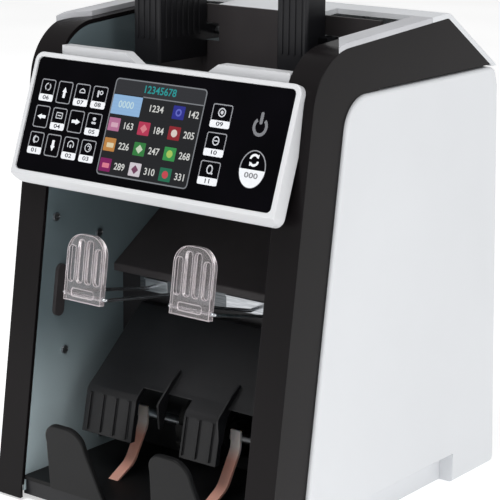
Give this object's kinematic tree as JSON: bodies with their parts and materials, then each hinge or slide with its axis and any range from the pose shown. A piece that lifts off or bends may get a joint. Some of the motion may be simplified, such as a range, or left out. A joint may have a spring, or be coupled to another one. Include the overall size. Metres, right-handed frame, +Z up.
{
  "type": "banknote counting machine",
  "caption": "Desktop banknote counter with a top hopper and sliding guides, tilted display panel, clear reject stops, stacker pocket, roller drive and hinged rear door.",
  "frame": {"origin": "middle of the footprint, from the tongue tips to the rear of the side covers, on the desk", "axes": "+X to the operator's right, -Y to the operator, +Z up"},
  "size_m": [0.266, 0.3156, 0.424],
  "materials": {
    "white_shell": "satin moulded white",
    "pale_strip": "satin light grey",
    "black_trim": "satin black",
    "black_inner": "matt black",
    "dark_grey": "matt dark grey",
    "side_steel": "grey-blue coated steel",
    "bright_steel": "bright",
    "zinc_steel": "zinc plated",
    "roller_rubber": "matt",
    "wheel_rubber": "matt",
    "tan_polyurethane": "satin tan",
    "clear_acrylic": "clear moulded acrylic",
    "panel_black": "gloss black printed film",
    "screen": "colour display",
    "circuit": "solder mask",
    "supply_steel": "folded sheet",
    "motor_steel": "black enamel",
    "foot_rubber": "matt",
    "tray_steel": "black coated steel"
  },
  "bodies": {
    "case": {"base_tray": "tray_steel", "board_brackets": "zinc_steel", "cross_bar": "bright_steel", "display_back": "white_shell", "display_board": "circuit", "display_housing": "white_shell", "display_screen": "screen", "door_hinges": "zinc_steel", "drive_belt": "black_inner", "guide_rod": "zinc_steel", "hopper_apron": "white_shell", "hopper_back": "black_inner", "hopper_floor": "black_inner", "main_board": "circuit", "main_motor": "motor_steel", "note_strips": "tan_polyurethane", "paddle_wire_left": "bright_steel", "paddle_wire_right": "bright_steel", "panel_glass": "panel_black", "pocket_back": "side_steel", "power_inlet": "black_inner", "power_supply": "supply_steel", "rear_panel": "white_shell", "reject_ramp": "black_inner", "rubber_feet": "foot_rubber", "sensor_lower": "black_inner", "sensor_upper": "black_inner", "service_port": "zinc_steel", "side_cover_left": "white_shell", "side_cover_right": "white_shell", "side_frame_left": "side_steel", "side_frame_right": "side_steel", "side_trim_left": "black_trim", "side_trim_right": "black_trim", "stacker_cover": "black_inner", "stacker_tray": "dark_grey", "switch_frame": "black_inner", "top_cover": "white_shell", "top_strip_left": "pale_strip", "top_strip_right": "pale_strip", "wall_covers": "black_inner", "wall_screws": "zinc_steel"},
    "guide_left": {"hopper_guide_left": "black_trim"},
    "guide_right": {"hopper_guide_right": "black_trim"},
    "pickup": {"pickup_shaft": "zinc_steel", "pickup_tyres": "roller_rubber"},
    "feed": {"feed_shaft": "zinc_steel", "feed_tyres": "roller_rubber"},
    "upper_roller": {"upper_shaft": "zinc_steel", "upper_tyres": "roller_rubber"},
    "lower_roller": {"lower_shaft": "zinc_steel", "lower_tyres": "roller_rubber"},
    "stacker": {"stacker_shaft": "zinc_steel", "stacker_wheels": "wheel_rubber"},
    "motor": {"motor_pulley": "zinc_steel"},
    "gate": {"diverter_gate": "black_inner"},
    "paddle_left": {"paddle_left": "clear_acrylic"},
    "paddle_right": {"paddle_right": "clear_acrylic"},
    "door": {"rear_door": "white_shell"},
    "rocker": {"switch_rocker": "black_inner"}
  },
  "joints": [
    {"name": "motor_spin", "type": "hinge", "parent": "case", "child": "motor", "pos_m": [0, 0.07276, 0.072], "axis": [1, 0, 0], "continuous": true},
    {"name": "pickup_spin", "type": "hinge", "parent": "case", "child": "pickup", "pos_m": [0, -0.01923, 0.3095], "axis": [1, 0, 0], "continuous": true},
    {"name": "feed_spin", "type": "hinge", "parent": "case", "child": "feed", "pos_m": [0, 0.02476, 0.2899], "axis": [1, 0, 0], "continuous": true},
    {"name": "upper_spin", "type": "hinge", "parent": "case", "child": "upper_roller", "pos_m": [0, 0.06877, 0.2703], "axis": [1, 0, 0], "continuous": true},
    {"name": "lower_spin", "type": "hinge", "parent": "case", "child": "lower_roller", "pos_m": [0, 0.07076, 0.17115], "axis": [1, 0, 0], "continuous": true},
    {"name": "stacker_spin", "type": "hinge", "parent": "case", "child": "stacker", "pos_m": [0, -0.04124, 0.052], "axis": [1, 0, 0], "continuous": true},
    {"name": "guide_right_slide", "type": "slide", "parent": "case", "child": "guide_right", "axis": [1, 0, 0], "range_m": [-0.009, 0.0245]},
    {"name": "guide_left_slide", "type": "slide", "parent": "case", "child": "guide_left", "axis": [1, 0, 0], "range_m": [-0.0245, 0.009]},
    {"name": "gate_swing", "type": "hinge", "parent": "case", "child": "gate", "pos_m": [0, 0.03737, 0.226], "axis": [1, 0, 0], "range_deg": [0, 22]},
    {"name": "paddle_left_fold", "type": "hinge", "parent": "case", "child": "paddle_left", "pos_m": [-0.05, -0.13062, 0.169], "axis": [1, 0, 0], "range_deg": [0, 65], "stiffness_Nm_per_rad": 0.02},
    {"name": "paddle_right_fold", "type": "hinge", "parent": "case", "child": "paddle_right", "pos_m": [0.05, -0.12962, 0.176], "axis": [1, 0, 0], "range_deg": [0, 65], "stiffness_Nm_per_rad": 0.02},
    {"name": "door_swing", "type": "hinge", "parent": "case", "child": "door", "pos_m": [0, 0.14632, 0.118], "axis": [-1, 0, 0], "range_deg": [0, 75]},
    {"name": "rocker_tip", "type": "hinge", "parent": "case", "child": "rocker", "pos_m": [-0.03, 0.1503, 0.05791], "axis": [1, 0, 0], "range_deg": [-18, 0]}
  ],
  "couplings": [
    {"joint": "pickup_spin", "follows": "motor_spin", "ratio": 1},
    {"joint": "feed_spin", "follows": "motor_spin", "ratio": 1},
    {"joint": "upper_spin", "follows": "motor_spin", "ratio": 1},
    {"joint": "lower_spin", "follows": "motor_spin", "ratio": 1},
    {"joint": "stacker_spin", "follows": "motor_spin", "ratio": 1},
    {"joint": "guide_left_slide", "follows": "guide_right_slide", "ratio": -1}
  ]
}
